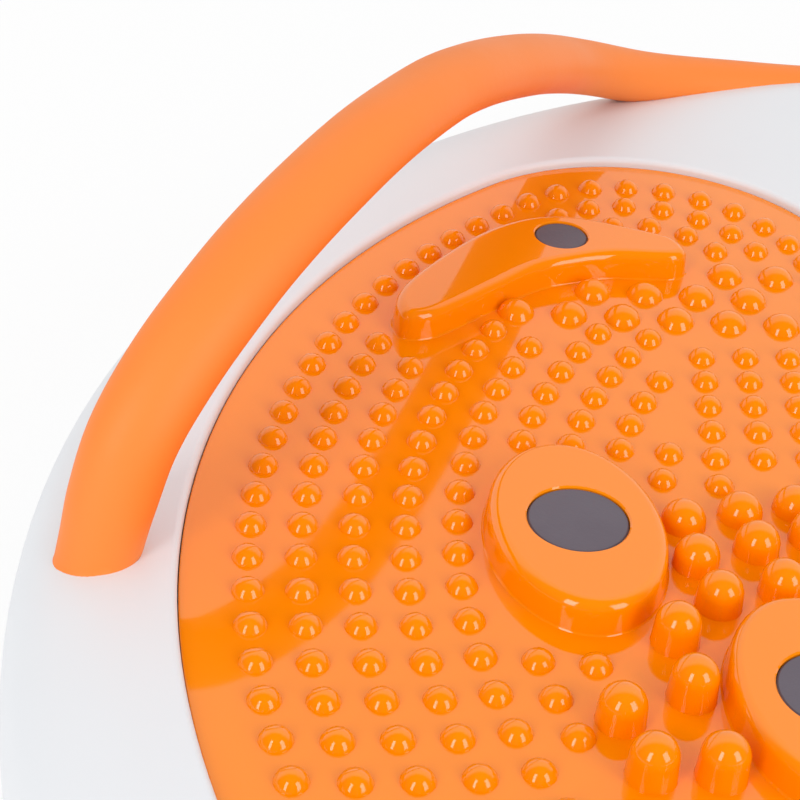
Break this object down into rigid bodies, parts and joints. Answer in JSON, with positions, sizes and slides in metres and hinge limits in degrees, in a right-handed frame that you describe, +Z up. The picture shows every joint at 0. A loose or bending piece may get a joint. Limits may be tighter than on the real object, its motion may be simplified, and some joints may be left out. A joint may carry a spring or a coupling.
{
  "type": "waist twisting disc",
  "caption": "Round twist disc: white shell on a ball race, foot-shaped massage pads with bumps, pins and magnets, and bowed handles on the rim.",
  "frame": {"origin": "on the floor under the disc's centre", "axes": "+Z up along the spin axis, +Y towards the user's toes, +X to the user's right"},
  "size_m": [0.4, 0.4, 0.0928],
  "materials": {
    "white_shell": "semi-matte moulded ABS",
    "orange_insert": "high-gloss moulded plastic",
    "orange_handle": "satin soft-touch plastic",
    "magnet": "ground ferrite, matt",
    "steel_fastener": "zinc plated",
    "race_steel": "pressed, lightly oiled",
    "ball_steel": "polished",
    "slide_plastic": "natural acetal",
    "brass": "turned",
    "foot_rubber": "matt",
    "base_plastic": "moulded, lightly textured"
  },
  "bodies": {
    "base": {"base_plate": "base_plastic", "base_bush": "slide_plastic", "rubber_feet": "foot_rubber", "foot_screws": "steel_fastener", "lower_race": "race_steel"},
    "turntable": {"top_shell": "white_shell", "left_foot_insert": "orange_insert", "right_foot_insert": "orange_insert", "left_toe_magnet": "magnet", "left_outer_arch_magnet": "magnet", "left_inner_arch_magnet": "magnet", "left_heel_magnet": "magnet", "right_toe_magnet": "magnet", "right_outer_arch_magnet": "magnet", "right_inner_arch_magnet": "magnet", "right_heel_magnet": "magnet", "left_insert_screws": "steel_fastener", "right_insert_screws": "steel_fastener", "left_handle": "orange_handle", "right_handle": "orange_handle", "left_handle_screws": "steel_fastener", "right_handle_screws": "steel_fastener", "under_cover": "white_shell", "cover_screws": "steel_fastener", "upper_race": "race_steel", "threaded_insert": "brass", "pivot_bolt": "steel_fastener", "pivot_washer": "steel_fastener", "thrust_washer": "slide_plastic"},
    "cage": {"ball_cage": "slide_plastic", "bearing_balls": "ball_steel"}
  },
  "joints": [
    {"name": "disc_spin", "type": "hinge", "parent": "base", "child": "turntable", "pos_m": [0, 0, 0], "axis": [0, 0, 1], "continuous": true},
    {"name": "cage_spin", "type": "hinge", "parent": "base", "child": "cage", "pos_m": [0, 0, 0], "axis": [0, 0, 1], "continuous": true}
  ],
  "couplings": [
    {"joint": "cage_spin", "follows": "disc_spin", "ratio": 0.5}
  ]
}
